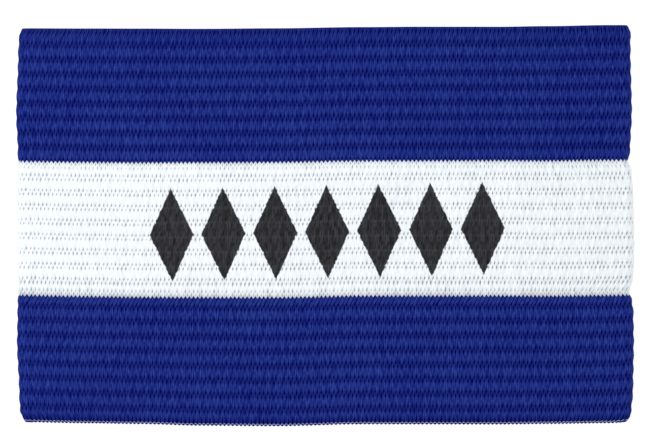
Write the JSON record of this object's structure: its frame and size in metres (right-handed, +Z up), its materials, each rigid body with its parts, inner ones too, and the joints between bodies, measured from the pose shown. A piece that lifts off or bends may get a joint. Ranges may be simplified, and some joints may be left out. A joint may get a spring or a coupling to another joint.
{
  "type": "captain armband",
  "caption": "Wide ribbed elastic armband lying flat as a folded loop, with a white stripe between blue ones and an open hollow for the arm.",
  "frame": {"origin": "middle of the band on the surface that it lies on", "axes": "+X along the band from fold to fold, +Y across the stripes along the arm's way through, from the narrower blue stripe to the wider one, +Z up from the lower layer to the printed upper layer"},
  "size_m": [0.1398, 0.0906, 0.0107],
  "materials": {
    "upper_blue": "matte royal blue ribbed knitted elastic",
    "middle_white": "matte white ribbed knitted elastic with a charcoal print on its upper layer",
    "lower_blue": "matte royal blue ribbed knitted elastic"
  },
  "bodies": {
    "root": {"upper_stripe": "upper_blue", "middle_stripe": "middle_white", "lower_stripe": "lower_blue"}
  },
  "joints": []
}
